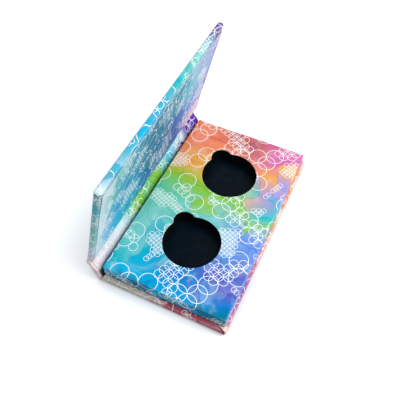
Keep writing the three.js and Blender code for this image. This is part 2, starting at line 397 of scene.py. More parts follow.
def standing(axis, lift):
    along = Vector((-cos(lift), 0, sin(lift)))
    return Panel(axis, along, Vector((sin(lift), 0, cos(lift))))


base = Panel(base_axis, Vector((1, 0, 0)), Vector((0, 0, 1)))
spine = standing(base_axis, spine_lift)
lid = standing(lid_axis, lid_lift)
tray = Panel(Vector((0, 0, FOLD_RADIUS)), base.along, base.inward)


@dataclass
class RoundedBox:
    """Paper over a box with bent edges. Points are given on the plain box's surface, in the panel's frame.

    bend is the radius of the edges. From hem on, if given, it grows to that from the spine's radius. swell
    gives what the inner face gains at a place, if it isn't flat.
    """

    panel: Panel
    low: Vector
    high: Vector
    bend: float
    hem: float = None
    swell: object = None

    def bend_at(self, x):
        if self.hem is None:
            return self.bend
        return SPINE_BEND + (self.bend - SPINE_BEND) * smooth((x - self.hem) / HEM_RUN)

    def place(self, point, lift=0.0, thickness=PAPER):
        bend = self.bend_at(point[0])
        core = Vector([clamp(point[i], self.low[i] + bend, self.high[i] - bend) for i in range(3)])
        normal = (Vector(point) - core).normalized()
        front = core + normal * (bend + lift + ripple(core))
        back = front - normal * thickness
        if self.swell:
            for spot in (front, back):
                spot.z *= 1 + self.swell(spot.x, spot.y) / self.high.z
        _, second, first = sorted(abs(part) for part in normal)
        return self.panel.place(*front), self.panel.place(*back), (2 * first * second) ** CROWN

    def strips(self, paper, us, vs, spot, flat, front=PRINTED):
        """Thin paper, not rubbed, on both ends. spot gives a point of the far end, and its lift."""
        for side in (-1, 1):

            def place(u, v):
                (x, y, z), lift = spot(u, v)
                return *self.place((x, side * y, z), lift, THIN)[:2], 0.0

            def printed(u, v):
                x, y = flat(u, v)
                return x, side * y

            paper.grid(us, vs, place, printed, front)

    def sides(self, paper, lines, keep, flat):
        """The box's six sides as grids that share their edges, without the cells that keep turns down."""
        numbers = {}

        def point_number(cell):
            if cell not in numbers:
                numbers[cell] = paper.add(self.place([line[k] for line, k in zip(lines, cell)]))
            return numbers[cell]

        for axis, end in ((2, 0), (2, 1), (1, 0), (1, 1), (0, 0), (0, 1)):
            fixed = (len(lines[axis]) - 1) * end
            first, second = [i for i in range(3) if i != axis]
            for i, j in product(range(len(lines[first]) - 1), range(len(lines[second]) - 1)):
                cells = []
                for a, b in quad(i, j):
                    cell = [fixed] * 3
                    cell[first], cell[second] = a, b
                    cells.append(tuple(cell))
                spots = [[line[k] for line, k in zip(lines, cell)] for cell in cells]
                middle = [sum(parts) / 4 for parts in zip(*spots)]
                if keep(axis, end, middle):
                    places = [flat(axis, end, spot, middle) for spot in spots]
                    paper.quads.append(([point_number(cell) for cell in cells], places, PRINTED))


def end_lines(half, bend):
    """Grid lines along the folds, close together at both ends."""
    inner = half - bend
    fine = both(spread(half - CORNER_ZONE, inner, FINE_STEP))
    return merged(bend_lines(-half, bend), spread(-inner, inner, STEP), fine, bend_lines(half, -bend))


def unfold_ends(axis, end, spot, middle, height):
    """Place on the flat sheet of a panel's outer face, its ends and the margins turned in from them."""
    x, y, z = spot
    side = copysign(1, middle[1])
    if axis == 2 and end == 0:
        return x, y
    if axis == 1:
        return x, side * (cover_half + z)
    return x, side * (cover_half + height + cover_half - abs(y))


# Rolled edges: lining or turned-in paper that bends over a board's edge and down into a groove


def rolled_edge(wall, top, radius, way):
    """Points (x, z, normal x, normal z, run) from the groove's floor up a wall and over onto the top."""
    points = []

    def put(x, z, nx, nz):
        run = 0.0
        if points:
            run = points[-1][4] + hypot(x - points[-1][0], z - points[-1][1])
        points.append((x, z, nx, nz, run))

    step = pi / 2 / BEND_STEPS
    for centre_x, centre_z, reach, angles in (
        (wall - way * GROOVE_FOOT, GROOVE + GROOVE_FOOT, -GROOVE_FOOT, spread(pi / 2, 0, step)),
        (wall + way * radius, top - radius, radius, spread(0, pi / 2, step / 2)),
    ):
        for angle in angles:
            nx, nz = -way * cos(angle), sin(angle)
            put(centre_x + nx * reach, centre_z + nz * reach, nx, nz)
    return points


def lining_path(first, last=None, flats=()):
    """A rolled edge, flat lines on the top and a second rolled edge, with places on the flat sheet."""
    start_x, start_run = first[-1][0], first[-1][4]
    way = copysign(1, first[-1][0] - first[0][0])
    path = [(*point[:4], start_x - way * (start_run - point[4])) for point in first]
    path += [(x, first[-1][1], 0.0, 1.0, x) for x in flats]
    if last:
        end_x, end_run = last[-1][0], last[-1][4]
        path += [(*point[:4], end_x + end_run - point[4]) for point in reversed(last)]
    return path


def roll_sheet(panel, path, ys, swell=None, fit=None, paper=None):
    """Lays a sheet along a path of (x, z, normal x, normal z, place on the sheet) for each y.

    swell gives what the flat part gains in height at x and y, and fit moves y to suit x and z.
    """
    paper = paper or Paper()

    def place(step, y):
        x, z, nx, nz, _ = path[step]
        if fit:
            y = fit(x, y, z)
        rise = swell(x, y) * nz if swell else 0.0
        out = Vector((nx, 0, nz))
        front = Vector((x, y, z + rise)) + out * ripple(Vector((x, y, z)))
        worn = float(min(abs(nx), abs(nz)) > BENT)
        return panel.place(*front), panel.place(*(front - out * THIN)), worn

    paper.grid(range(len(path)), ys, place, lambda step, y: (path[step][4], y))
    return paper


# Covers


def panel_cover(panel, start, bend, corner):
    """Paper round the base or the lid: outer face, ends, turned-in margins and the free edge's flap."""
    slope, mitre_shade_width, fold, fold_shade_width = corner
    end = panel_end - CLEAR
    low, high = Vector((-TURN_IN, -cover_half, 0)), Vector((end, cover_half, case_turn_in))
    box = RoundedBox(panel, low, high, bend, start)
    inner_start = start + bend
    xs = merged(
        [FOLD_REACH, inner_start],
        spread(start, start + HEM_RUN, FINE_STEP),
        spread(start + HEM_RUN, end - CORNER_ZONE, STEP),
        spread(end - CORNER_ZONE, end - bend, FINE_STEP),
        bend_lines(end, -bend),
    )
    zs = merged(bend_lines(0, bend), [GROOVE_HEM], bend_lines(case_turn_in, -bend))

    def keep(axis, far, middle):
        x, y, z = middle
        to_end, to_free = cover_half - abs(y), end - x
        if axis == 2 and far == 0:
            return True
        if axis == 2:
            return x > inner_start and to_end < TURN_IN and to_end < slope * to_free + TUCK / 2
        if axis == 1:
            return x > start or z < GROOVE_HEM
        return far == 1 and (z < bend or to_end < TUCK)

    def flat(axis, far, spot, middle):
        if axis == 0:
            return end + FREE_PRINT + spot[2], spot[1]
        return unfold_ends(axis, far, spot, middle, case_turn_in)

    paper = Paper()
    box.sides(paper, (xs, end_lines(cover_half, bend), zs), keep, flat)
    free_flap(paper, box, end, slope)
    # Dark strips that paint the shade of the slits along the flap's ends
    if mitre_shade_width:
        painted_mitre_shade(paper, box, end, slope, mitre_shade_width)
    corner_folds(paper, box, end, fold, fold_shade_width)
    if start > panel_start:
        hem_walls(paper, box, start)
        end_tongues(paper, box, panel_start, LID_HEM_ROUND, 1)
    else:
        end_tongues(paper, box, start, bend + PAPER, 1)
    return paper


def hem_walls(paper, box, start):
    """The ends of a cover beside a wide groove, up to the rolled edge of its turned-in paper."""
    centre = panel_start - PAPER + LID_HEM_ROUND

    def height(x, share):
        rolled = sqrt(LID_HEM_ROUND**2 - (centre - x) ** 2)
        return GROOVE_HEM + share * (case_turn_in - LID_HEM_ROUND + rolled - GROOVE_HEM)

    for side in (-1, 1):

        def place(x, share):
            return box.place((x, side * cover_half, height(x, share)))

        def flat(x, share):
            return x, side * (cover_half + height(x, share))

        paper.grid(spread(panel_start - PAPER, start, HEM_STEP), FIFTHS, place, flat)


def panel_core(panel, name, start, bend, material):
    """The board inside a cover, with its edges eased to the bend of the paper."""
    skin = PAPER + GLUE
    low = Vector((start, skin - cover_half, skin))
    high = Vector((panel_end - CLEAR - skin, cover_half - skin, case_turn_in - skin))
    bm = bmesh.new()
    bmesh.ops.create_cube(bm, size=1.0)
    for vertex in bm.verts:
        spot = [low[i] + (high[i] - low[i]) * (vertex.co[i] + 0.5) for i in range(3)]
        vertex.co = panel.place(*spot) * MM
    bmesh.ops.recalc_face_normals(bm, faces=bm.faces)
    ease = (bend - skin) * MM
    bmesh.ops.bevel(bm, geom=bm.edges[:], offset=ease, segments=BEND_STEPS, profile=0.5, affect="EDGES")
    return mesh_object(name, bm, material)


def free_flap(paper, box, end, slope):
    """The paper over the free edge, folded last: up the edge and over the margin, mitred at the corners."""
    top, bend = case_turn_in, box.bend
    up = [(end, z) for z in merged([bend, top / 2], bend_lines(top, -bend))]
    inwards = merged(bend_lines(end, -bend), spread(end - TURN_IN, end - bend, FLAP_STEP))
    rows = up + [(x, top) for x in inwards[-2::-1]]
    fine_start, fine_step = FLAP_CORNER
    shares = merged(spread(-1, 1, FLAP_SHARE), both(spread(fine_start, 1, fine_step)))

    def reach(row):
        return cover_half - FLAP_END - slope * (end - rows[row][0])

    def place(row, share):
        x, z = rows[row]
        y = share * reach(row)
        rise = smooth((abs(y) - reach(row) + FLAP_REACH) / FLAP_REACH)
        start = smooth((z - bend) / (top - 2 * bend))
        return box.place((x, y, z), FLAP_LIFT * rise * start)

    def flat(row, share):
        x, z = rows[row]
        return end + FREE_PRINT + z + (end - x), share * reach(row)

    paper.grid(range(len(rows)), shares, place, flat)


def painted_mitre_shade(paper, box, end, slope, slit):
    """Dark strips along the slanted ends of the flap, painted shade of the slits there, which narrow away from the
    corners.
    """

    def spot(inset, share):
        edge = cover_half - FLAP_END - slope * inset - TUCK_UNDER
        y = min(edge + share * (TUCK_UNDER + slit * (1 - inset / MITRE_RUN)), cover_half)
        return (end - inset, y, case_turn_in), SLIT_SHADE_LIFT

    insets = spread(box.bend / 2, MITRE_RUN, FINE_STEP)
    box.strips(paper, insets, QUARTERS, spot, lambda inset, share: (end, cover_half), EDGE)


def corner_folds(paper, box, end, reach, slit):
    """The free edge's paper where it is folded round the corners, with a dark strip along its edge that paints the
    shade of a slit.
    """
    edge = end - box.bend / 2
    heights = spread(CORNER_FOLD_FOOT, case_turn_in - box.bend / 2, SMALL_STEP)

    def width(z):
        return reach * (z / case_turn_in) ** CORNER_FOLD_CURVE

    def spot(z, share):
        return (edge - width(z) * (1 - share), cover_half, z), CORNER_FOLD_LIFT * (1 - share)

    def slit_shade_spot(z, share):
        return (edge - (width(z) + slit * share), cover_half, z), SLIT_SHADE_LIFT

    box.strips(paper, heights, QUARTERS, spot, lambda z, share: (end + FREE_PRINT + z, cover_half - share))
    # A dark strip beside the fold's edge: painted shade of the slit under it
    box.strips(paper, heights, HALVES, slit_shade_spot, lambda z, share: (end, cover_half), EDGE)


def end_tongues(paper, box, board_edge, roll, way):
    """The turned-in ends of a cover, where they run over the board's edge into the groove."""
    top = box.high.z
    path = lining_path(rolled_edge(board_edge - way * PAPER, top, roll, way))
    inner = lining_half - 2 * PAPER

    def fit(x, y, z):
        bend = box.bend_at(x)
        beyond = clamp(max(bend - z, z - top + bend) / bend)
        edge = cover_half - PAPER / 2 - bend * (1 - sqrt(1 - beyond**2))
        share = (abs(y) - inner) / (cover_half - inner)
        return copysign(inner + share * (edge - inner), y)

    for side in (-1, 1):
        ys = [side * y for y in spread(inner, cover_half, FINE_STEP)]
        roll_sheet(box.panel, path, ys, fit=fit, paper=paper)


def spine_crown(x):
    """Share of the spine's swell: 1 in the middle, 0 near the folds."""
    share = clamp(abs(x - fold_to_fold / 2) / SPINE_CROWN_HALF)
    return cos(pi / 2 * share) ** 2


def spine_cover():
    """Paper round the spine between the two folds, with its turned-in ends."""
    first, last = SPINE_SETBACK, fold_to_fold - SPINE_SETBACK
    low = Vector((-TURN_IN, -cover_half, 0))
    high = Vector((fold_to_fold + TURN_IN, cover_half, SPINE_TURN_IN))

    def swell(x, y):
        return END_CROWN * smooth((abs(y) - lining_half) / END_CROWN_RUN) * spine_crown(x)

    box = RoundedBox(spine, low, high, SPINE_BEND, swell=swell)
    xs = merged([first, FOLD_REACH, last, fold_to_fold - FOLD_REACH], spread(first, last, FINE_STEP))
    zs = merged(bend_lines(0, SPINE_BEND), bend_lines(SPINE_TURN_IN, -SPINE_BEND))

    def keep(axis, far, middle):
        x, y, _ = middle
        if axis == 2 and far == 0:
            return FOLD_REACH < x < fold_to_fold - FOLD_REACH
        if axis == 2:
            return first + SPINE_BEND < x < last - SPINE_BEND and cover_half - abs(y) < TURN_IN
        return axis == 1

    paper = Paper()
    crowned = spread(lining_half, lining_half + END_CROWN_RUN, END_CROWN_RUN / 3)
    ys = merged(end_lines(cover_half, SPINE_BEND), both(crowned))
    box.sides(paper, (xs, ys, zs), keep, lambda *spot: unfold_ends(*spot, SPINE_TURN_IN))
    end_tongues(paper, box, first, SPINE_BEND + PAPER, 1)
    end_tongues(paper, box, last, SPINE_BEND + PAPER, -1)
    return paper


# Linings. Their print is one sheet: it is counted from the base's fold, over the spine and on to the lid.

spine_wall = SPINE_SETBACK - PAPER
base_wall = panel_start - PAPER
lid_wall = lid_start - PAPER
low_roll = rolled_edge(spine_wall, SPINE_LINING, SPINE_ROUND, 1)
high_roll = rolled_edge(fold_to_fold - spine_wall, SPINE_LINING, SPINE_ROUND, -1)
spine_flats = spread(low_roll[-1][0] + SPINE_START, high_roll[-1][0] - SPINE_START, FINE_STEP)
spine_path = lining_path(low_roll, high_roll, spine_flats)
lid_roll = rolled_edge(lid_wall, case_lining, LINING_ROUND, 1)
lid_flats = spread(lid_roll[-1][0] + LINING_START, panel_end - LINING_FREE_INSET, FLAP_STEP)
lid_groove_start = spine_path[-1][4]
lid_groove_end = lid_groove_start + spine_wall + lid_wall - 2 * GROOVE_FOOT
lid_path = lining_path(lid_roll, flats=lid_flats)
lid_path = [(*point[:4], point[4] + lid_groove_end - lid_path[0][4]) for point in lid_path]
lining_ys = spread(-lining_half, lining_half, LINING_STEP)


def lid_lining():
    """The lid's lining: cut short of the edges, a little lower inside the margins, loose at the corners."""
    last = lid_path[-1][0]

    def swell(x, y):
        margin = min(case_half - abs(y), panel_end - x) - TURN_IN
        lower = STEP_DOWN * smooth(margin / STEP_RUN) * smooth((x - lid_start) / TURN_IN)
        away = Vector((last - x, lining_half - abs(y))).length
        return CORNER_LIFT * smooth(1 - away / CORNER_LIFT_REACH) - lower

    ends = spread(lining_half - LINING_END_ZONE, lining_half, LINING_END_STEP)
    return roll_sheet(lid, lid_path, merged(lining_ys, both(ends)), swell)


def spine_lining():
    """The spine's lining: softly crowned, and rolled into the groove on both sides."""

    def swell(x, y):
        loose = 1 + SPINE_END_LIFT * smooth((abs(y) - lining_half) / SPINE_END_REACH + 1)
        return SPINE_CROWN * loose * spine_crown(x)

    return roll_sheet(spine, spine_path, lining_ys, swell)


def base_lining_edge():
    """The base's lining where it leaves the tray and runs down into the groove."""
    roll = rolled_edge(base_wall, case_lining - GLUE, FOLD_RADIUS, 1)
    path = [(*point[:4], -point[0] - point[1]) for point in roll]
    return roll_sheet(base, path, lining_ys)


# Creases and folds between the panels


def bent_strip(spots, half, hem=False, wear=0.0):
    """A narrow strip of paper through a list of (point, normal, place on the sheet).

    With a hem, it goes on past half as the cover's turned-in ends.
    """
    paper = Paper()

    def place(step, y):
        point, normal, _ = spots[step]
        front = point + Vector((0, y, 0))
        return front, front - normal * THIN, wear

    def flat(step, y):
        return spots[step][2], y

    steps = range(len(spots))
    paper.grid(steps, spread(-half, half, STEP), place, flat)
    if hem:
        for side in (-1, 1):
            paper.grid(steps, [side * y for y in spread(half, cover_half, FINE_STEP)], place, flat, EDGE)
    return paper


def groove_spots(panel, xs, start):
    """Points on a groove's floor at these distances along a panel, with places counted from start."""
    return [(panel.place(x, 0, GROOVE), panel.inward, start + abs(x - xs[0])) for x in xs]


def base_crease():
    ends = (base_wall - GROOVE_FOOT, spine_wall - GROOVE_FOOT)
    width = sum(ends)
    spots = groove_spots(base, spread(ends[0], GROOVE_CREASE, SMALL_STEP), spine_path[0][4] - width)
    spots += groove_spots(spine, [GROOVE_CREASE / 2, ends[1]], spine_path[0][4] - ends[1])
    return bent_strip(spots, lining_half, hem=True)


def lid_crease():
    ends = (spine_wall - GROOVE_FOOT, lid_wall - GROOVE_FOOT)
    rows = [fold_to_fold - ends[0], fold_to_fold - GROOVE_CREASE / 2]
    spots = groove_spots(spine, rows, lid_groove_start)
    spots += groove_spots(lid, spread(GROOVE_CREASE, ends[1], SMALL_STEP), lid_groove_start + ends[0])
    return bent_strip(spots, lining_half, hem=True)


def outer_fold(first, way, second):
    """The outer paper's bend round a fold axis, with the flat paper beside it."""
    axis = second.axis
    turn = first.inward.angle(second.inward)
    spin = first.inward.cross(second.inward).normalized()
    spots = []

    def put(point, normal, place):
        spots.append((point + normal * (FOLD_RADIUS - FOLD_SLIP), normal, place))

    for x in spread(FOLD_REACH, 0, SMALL_STEP):
        put(axis + first.along * (way * x), -first.inward, -x)
    for i in range(1, 2 * BEND_STEPS):
        angle = turn * i / (2 * BEND_STEPS)
        put(axis, Matrix.Rotation(angle, 3, spin) @ -first.inward, angle * FOLD_RADIUS)
    for x in spread(0, FOLD_REACH, SMALL_STEP):
        put(axis + second.along * x, -second.inward, turn * FOLD_RADIUS + x)
    return bent_strip(spots, cover_half, wear=FOLD_WEAR)


# Tray


def well_outline(centre, relief):
    """A well with its finger notch, seen from above: two circles joined by fillets that touch both."""
    well, notch, fillet = WELL_RADIUS + relief, NOTCH_RADIUS + relief, NOTCH_FILLET - relief
    x = ((well + fillet) ** 2 - (notch + fillet) ** 2 + NOTCH_REACH**2) / (2 * NOTCH_REACH)
    y = sqrt((well + fillet) ** 2 - x**2)
    from_well, from_notch = atan2(y, x), atan2(y, x - NOTCH_REACH)
    arcs = (
        (0, 0, well, from_well, 2 * pi - from_well, WELL_STEPS),
        (x, -y, fillet, pi - from_well, pi - from_notch, FILLET_STEPS),
        (NOTCH_REACH, 0, notch, -from_notch, from_notch, NOTCH_STEPS),
        (x, y, fillet, pi + from_notch, pi + from_well, FILLET_STEPS),
    )
    points = []
    for cx, cy, radius, start, stop, steps in arcs:
        for i in range(steps):
            angle = start + (stop - start) * i / steps
            spot = Vector((cx + radius * cos(angle), cy + radius * sin(angle), 0))
            points.append(Matrix.Rotation(NOTCH_ANGLE, 3, "Z") @ spot + Vector((centre.x, centre.y, 0)))
    return points


def well_cutter(centre, low, high):
    bm = bmesh.new()
    flat = bm.loops.layers.uv.new(SHEET)
    bm.verts.layers.float.new(WEAR)
    rings = []
    for z in (low, high):
        ring = [(point + Vector((0, 0, z))) * MM for point in well_outline(centre, WELL_RELIEF)]
        rings.append([bm.verts.new(point) for point in ring])
    for i in range(len(rings[0])):
        bm.faces.new((rings[0][i], rings[0][i - 1], rings[1][i - 1], rings[1][i]))
    for ring in rings:
        bm.faces.new(ring)
    bmesh.ops.recalc_face_normals(bm, faces=bm.faces)
    for face in bm.faces:
        face.material_index = EDGE
        face.smooth = True
        for loop in face.loops:
            loop[flat].uv = loop.vert.co.xy / MM
    return mesh_object("cutter", bm, None, None)


def cut_wells(piece):
    """Cuts the wells' outlines out of the tray's paper, and applies the cut to its mesh."""
    cutters = []
    for name in ("pan_seat_near", "pan_seat_far"):
        centre = in_mm(mounts[name]["pos_m"])
        cutter = well_cutter(centre, tray_high.z - CUT_DEPTH, tray_high.z + CUT_DEPTH)
        cut = piece.modifiers.new("well", "BOOLEAN")
        cut.operation, cut.solver, cut.object = "DIFFERENCE", "EXACT", cutter
        cutters.append(cutter)
    graph = bpy.context.evaluated_depsgraph_get()
    cut_mesh = bpy.data.meshes.new_from_object(piece.evaluated_get(graph))
    piece.modifiers.clear()
    piece.data = cut_mesh
    cut_mesh.set_sharp_from_angle(angle=SHARP)
    for cutter in cutters:
        bpy.data.objects.remove(cutter)


tray_box = RoundedBox(
    tray,
    Vector((tray_low.x, tray_low.y + TRAY_CLEAR, tray_low.z - TURN_IN)),
    Vector((tray_high.x, tray_high.y - TRAY_CLEAR, tray_high.z)),
    TRAY_BEND,
)


def tray_cover():
    """Paper over the tray's top and sides, before the wells are cut."""
    low, high = tray_box.low, tray_box.high
    flat_xs = spread(low.x + TRAY_BEND, high.x - TRAY_BEND, STEP)
    xs = merged(bend_lines(low.x, TRAY_BEND), flat_xs, bend_lines(high.x, -TRAY_BEND))
    zs = merged(spread(tray_low.z, high.z - TRAY_BEND, LINING_STEP), bend_lines(high.z, -TRAY_BEND))

    def keep(axis, far, middle):
        return axis != 2 or far == 1

    def flat(axis, far, spot, middle):
        x, y, z = spot
        down = high.z - z
        if axis == 2:
            return x, y
        if axis == 1:
            return x, copysign(high.y + down, middle[1])
        return (high.x + down if far else low.x - down), y

    paper = Paper()
    tray_box.sides(paper, (xs, end_lines(high.y, TRAY_BEND), zs), keep, flat)
    return paper


def tray_end_flaps():
    """The tray's end flaps: they leave the top flush and lie over the tucked sides below."""
    low, high = tray_box.low, tray_box.high
    top, foot = high.z - TRAY_BEND, tray_low.z + GLUE
    xs = spread(low.x + FLAP_SIDE_INSET, high.x - FLAP_SIDE_INSET, LINING_STEP)

    def spot(z, x):
        rise = smooth((top - z) / FLAP_RUN)
        return (x, high.y, z), TRAY_CLEAR * rise - RIPPLE * (1 - rise)

    def flat(z, x):
        return x, high.y + high.z - z

    paper = Paper()
    tray_box.strips(paper, spread(foot + GLUE_LINE_AND_SHADE, top, FLAP_ROW), xs, spot, flat)
    # A dark strip at the foot: a glue line, and painted contact shade where the tray meets the base
    tray_box.strips(paper, (foot, foot + GLUE_LINE_AND_SHADE), xs, spot, flat, EDGE)
    return paper


# Materials


class Graph:
    """Short names for the nodes of one material, or of the world."""

    def __init__(self, name, library=bpy.data.materials):
        self.owner = library.new(name)
        self.owner.use_nodes = True
        self.tree = self.owner.node_tree
        self.tree.nodes.clear()

    def node(self, kind, inputs=(), **settings):
        made = self.tree.nodes.new("ShaderNode" + kind)
        for key, value in settings.items():
            setattr(made, key, value)
        for key, value in dict(inputs).items():
            if isinstance(value, bpy.types.NodeSocket):
                self.tree.links.new(value, made.inputs[key])
            else:
                made.inputs[key].default_value = value
        return made

    def math(self, operation, *values):
        return self.node("Math", enumerate(values), operation=operation).outputs[0]

    def vector(self, operation, *values):
        made = self.node("VectorMath", enumerate(values), operation=operation)
        return made.outputs["Value" if operation == "DISTANCE" else "Vector"]

    def scaled(self, where, factor):
        made = self.node("VectorMath", {0: where, "Scale": factor}, operation="SCALE")
        return made.outputs["Vector"]

    def mix(self, factor, first, second, blend="MIX"):
        made = self.node("Mix", {0: factor, 6: first, 7: second}, data_type="RGBA", blend_type=blend)
        return made.outputs[2]

    def noise(self, where, size, detail=2.0, output="Fac"):
        inputs = {"Vector": where, "Scale": 1 / size, "Detail": detail, "Roughness": 0.55}
        return self.node("TexNoise", inputs).outputs[output]

    def cells(self, where, size, output="Distance", feature="F1"):
        inputs = {"Vector": where, "Scale": 1 / size}
        return self.node("TexVoronoi", inputs, feature=feature).outputs[output]

    def range(self, value, low, high, first=0.0, last=1.0, shape="SMOOTHSTEP"):
        inputs = {"Value": value, 1: low, 2: high, 3: first, 4: last}
        return self.node("MapRange", inputs, interpolation_type=shape).outputs[0]

    def bump(self, height, distance, strength=0.5):
        inputs = {"Height": height, "Distance": distance, "Strength": strength}
        return self.node("Bump", inputs).outputs[0]

    def place(self):
        """Place on the piece, in millimetres."""
        return self.scaled(self.node("TexCoord").outputs["Object"], 1 / MM)

    def finish(self, shader, output="OutputMaterial"):
        self.node(output, {"Surface": shader.outputs[0]})
        return self.owner

    def surface(self, colour, roughness, bump, **sockets):
        inputs = {"Base Color": colour, "Roughness": roughness, "Normal": bump}
        inputs |= {key.replace("_", " "): value for key, value in sockets.items()}
        return self.finish(self.node("BsdfPrincipled", inputs))


def colour_run(g, along, run):
    """Colours at places along the sheet, near to far, that run into each other."""
    ramp = g.node("ValToRGB", {0: g.range(along, -WASH_REACH, WASH_REACH, shape="LINEAR")})
    elements = ramp.color_ramp.elements
    stops = [stop.split() for stop in run.split(",")]
    while len(elements) < len(stops):
        elements.new(1.0)
    for element, (place, colour) in zip(elements, stops):
        element.position = (float(place) + WASH_REACH) / (2 * WASH_REACH)
        element.color = tone(PALETTE[colour])
    return ramp.outputs["Color"]


def circle_lattice(g, where, cell, line, zone):
    """1 on the lines of whole circles that overlap in a square lattice, where the patches lie in a zone."""
    grid = g.scaled(where, 1 / cell)
    local, home = g.vector("FRACTION", grid), g.vector("FLOOR", grid)
    width = line / 2 / cell
    lines = 0.0
    for corner in ((0, 0, 0), (1, 0, 0), (0, 1, 0), (1, 1, 0)):
        gap = g.math("SUBTRACT", g.vector("DISTANCE", local, corner), CIRCLE_REACH)
        ring = g.range(g.math("ABSOLUTE", gap), 0.7 * width, 1.3 * width, 1.0, 0.0)
        patch = g.noise(g.vector("ADD", home, corner), PATCH / cell, 1.0)
        ring = g.math("MULTIPLY", ring, g.math("COMPARE", patch, *zone))
        lines = g.math("MAXIMUM", ring, lines)
    return lines


def print_material(name, columns, shift, pale=0.0, rub=0.35, shade=None):
    """Printed paper: a watercolour wash with white overlapping circles.

    columns lists (place across the sheet, colours along it), fold side first. shift sets which part of the
    pattern the sheet shows, pale thins the ink, rub is how far it is worn at the bends, and shade is where
    the print runs from painted groove shade to full strength.
    """
    g = Graph(name)
    sheet = g.node("UVMap", uv_map=SHEET).outputs[0]
    moved_sheet = g.vector("ADD", sheet, (*shift, 0.0))
    swirl = g.vector("SUBTRACT", g.noise(moved_sheet, SWIRL, 2.0, "Color"), (0.5, 0.5, 0.5))
    flowing = g.vector("ADD", moved_sheet, g.scaled(swirl, SWIRL_FLOW))
    drift = g.node("SeparateXYZ", {0: g.vector("ADD", sheet, g.scaled(swirl, SWIRL_DRIFT))})
    chance = g.node("SeparateColor", {0: g.cells(flowing, BLOT, "Color")})

    # The wash: columns of colour, broken up by blots
    jumps = [g.math("SUBTRACT", chance.outputs[i], 0.5) for i in (0, 1)]
    along = g.math("MULTIPLY_ADD", jumps[0], BLOT_ALONG, drift.outputs[1])
    across = g.math("MULTIPLY_ADD", jumps[1], BLOT_ACROSS, drift.outputs[0])
    colour = colour_run(g, along, columns[0][1])
    for (before, _), (place, run) in zip(columns, columns[1:]):
        colour = g.mix(g.range(across, before, place), colour, colour_run(g, along, run))
    cloud = g.noise(flowing, CLOUD, 4.0)
    thin = g.math("ADD", g.range(cloud, 0.46, 0.85, 0.0, 0.3), pale)
    colour = g.mix(thin, colour, WHITE_INK)
    wet = g.cells(flowing, BLOT, feature="DISTANCE_TO_EDGE")
    grain = g.noise(moved_sheet, GRAIN, 3.0)
    for *darker, share in ((cloud, 0.2, 0.46, 0.3), (wet, 0.0, 0.03, 0.4), (grain, 0.3, 0.7, 0.1)):
        colour = g.mix(g.range(*darker, share, 0.0), colour, colour, "MULTIPLY")

    # White circles in three sizes, and dots
    turned = g.node("Mapping", {0: moved_sheet, "Rotation": (0, 0, CIRCLE_TURN)}).outputs[0]
    ink = 0.0
    for cell, line, zone in CIRCLES:
        ink = g.math("MAXIMUM", circle_lattice(g, turned, cell, line, zone), ink)
    dots = g.range(g.cells(moved_sheet, DOT_CELL), 0.07, 0.1, 0.9, 0.0)
    dots = g.math("MULTIPLY", dots, g.range(cloud, 0.38, 0.42, 1.0, 0.0))
    colour = g.mix(g.math("MAXIMUM", ink, dots), colour, WHITE_INK)

    # Rubbed bends and paper fibres
    worn = g.node("Attribute", attribute_name=WEAR).outputs["Fac"]
    worn = g.math("MULTIPLY", worn, g.range(g.noise(moved_sheet, RUB_SIZE, 4.0), 0.42, 0.75, 0.03, rub))
    colour = g.mix(worn, colour, CUT_PAPER)
    # Painted shade: the print darkens towards the groove beside the base's fold
    if shade:
        groove_shade_share = g.range(g.node("SeparateXYZ", {0: sheet}).outputs[0], *shade, 1.0, 0.0)
        colour = g.mix(groove_shade_share, colour, GROOVE_SHADE_TONE, "MULTIPLY")
    fibre = g.noise(moved_sheet, FIBRE, 3.0)
    rough = g.range(g.math("ADD", fibre, worn), 0.3, 1.2, 0.42, 0.65)
    return g.surface(colour, rough, g.bump(fibre, 0.00002, 0.35), Specular_IOR_Level=0.03)


def cut_edge_material(name, light, dark):
    """Cut edge and back of the printed paper: fibres, and glue that has soaked in. Its dark versions also paint
    shade where rims and strips stand for slits and gaps.
    """
    g = Graph(name)
    fibre = g.noise(g.place(), 0.25, 4.0)
    colour = g.mix(g.range(fibre, 0.3, 0.7), light, dark)
    rough = g.range(fibre, 0.3, 0.7, 0.75, 0.9)
    return g.surface(colour, rough, g.bump(fibre, 0.00003), Specular_IOR_Level=0.2)


def board_material():
    """Raw greyboard: pressed fibres with dark flecks."""
    g = Graph("greyboard")
    where = g.place()
    fibre = g.noise(g.vector("MULTIPLY", where, (1.0, 0.35, 1.0)), 0.6, 5.0)
    colour = g.mix(fibre, tone("8d877d"), tone("aaa498"))
    colour = g.mix(g.range(g.cells(where, 1.3), 0.06, 0.12, 0.7, 0.0), colour, tone("5e5a55"))
    return g.surface(colour, g.range(fibre, 0.3, 0.7, 0.82, 0.95), g.bump(fibre, 0.00005))


def foam_material():
    """Die-cut black foam board: matt, with fine cells and upright cutting marks."""
    g = Graph("black_core")
    where = g.place()
    cells = g.cells(where, 0.22)
    marks = g.noise(g.vector("MULTIPLY", where, (1.0, 1.0, 0.05)), 0.3, 2.0)
    colour = g.mix(g.math("MULTIPLY", cells, marks), tone("020303"), tone("0a0c0e"))
    height = g.math("MULTIPLY_ADD", marks, 0.6, cells)
    rough = g.range(cells, 0.1, 0.6, 0.85, 1.0)
    return g.surface(colour, rough, g.bump(height, 0.00006), Specular_IOR_Level=0.1)


